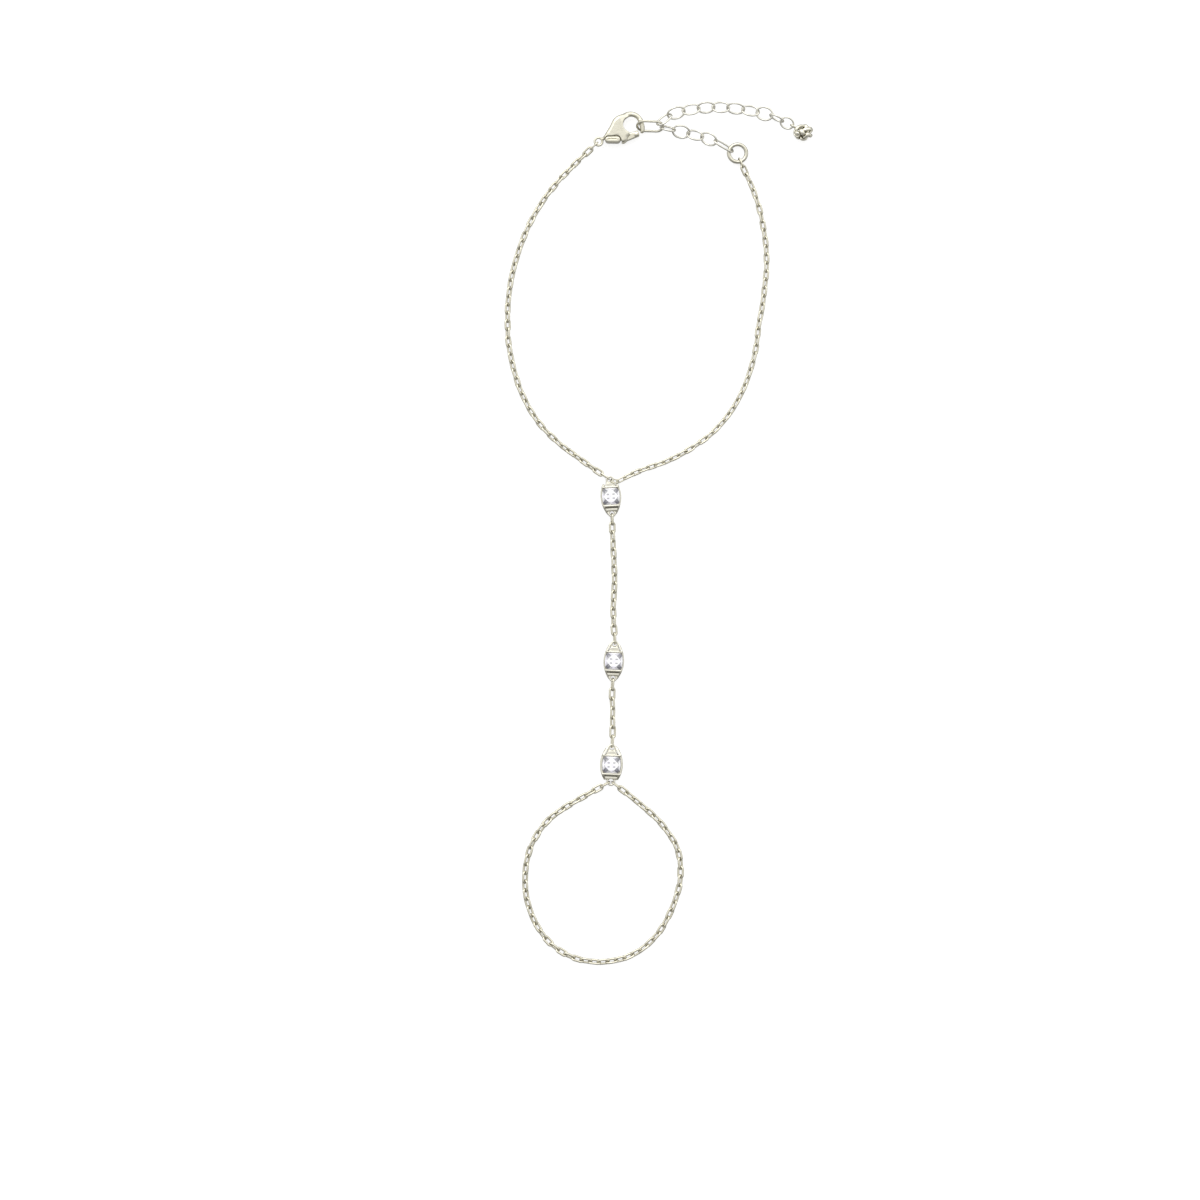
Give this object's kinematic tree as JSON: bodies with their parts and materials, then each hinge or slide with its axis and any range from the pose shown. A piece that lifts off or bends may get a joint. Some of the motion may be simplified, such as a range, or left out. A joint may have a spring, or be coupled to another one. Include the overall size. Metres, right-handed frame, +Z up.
{
  "type": "hand chain bracelet",
  "caption": "Fine pale gold hand chain bracelet lying flat: wrist chain with lobster clasp and extender, three square stone settings down the hand, and a chain loop for a finger.",
  "frame": {"origin": "centre of the bounding box at the resting plane, with the bracelet laid flat as it is shown", "axes": "+Y runs along the hand from the finger loop to the clasp, +X to the right seen from above, +Z up from the surface it rests on"},
  "size_m": [0.052, 0.1468, 0.0031],
  "materials": {
    "chain_metal": "polished pale champagne plate",
    "extender_metal": "polished pale champagne plate",
    "clasp_metal": "polished pale champagne plate",
    "setting_metal": "polished pale champagne plate",
    "stone": "clear faceted square stone with a silvered back"
  },
  "bodies": {
    "bracelet": {"wrist_chain_left": "chain_metal", "wrist_chain_right": "chain_metal", "hand_chain_upper": "chain_metal", "hand_chain_lower": "chain_metal", "finger_chain": "chain_metal", "extender_inner": "extender_metal", "extender_tail": "extender_metal", "hook_link": "extender_metal", "end_ring": "extender_metal", "knot_charm": "extender_metal", "clasp_body": "clasp_metal", "clasp_pin": "clasp_metal", "v_ring": "extender_metal", "setting_1": "setting_metal", "setting_2": "setting_metal", "setting_3": "setting_metal", "stone_1": "stone", "stone_2": "stone", "stone_3": "stone"},
    "gate": {"clasp_lever": "clasp_metal"}
  },
  "joints": [
    {"name": "gate_hinge", "type": "hinge", "parent": "bracelet", "child": "gate", "pos_m": [-0.00593, 0.06727, 0.0011], "axis": [0, 0, 1], "range_deg": [0, 18], "stiffness_Nm_per_rad": 0.00002, "springref_deg": -17.19}
  ]
}
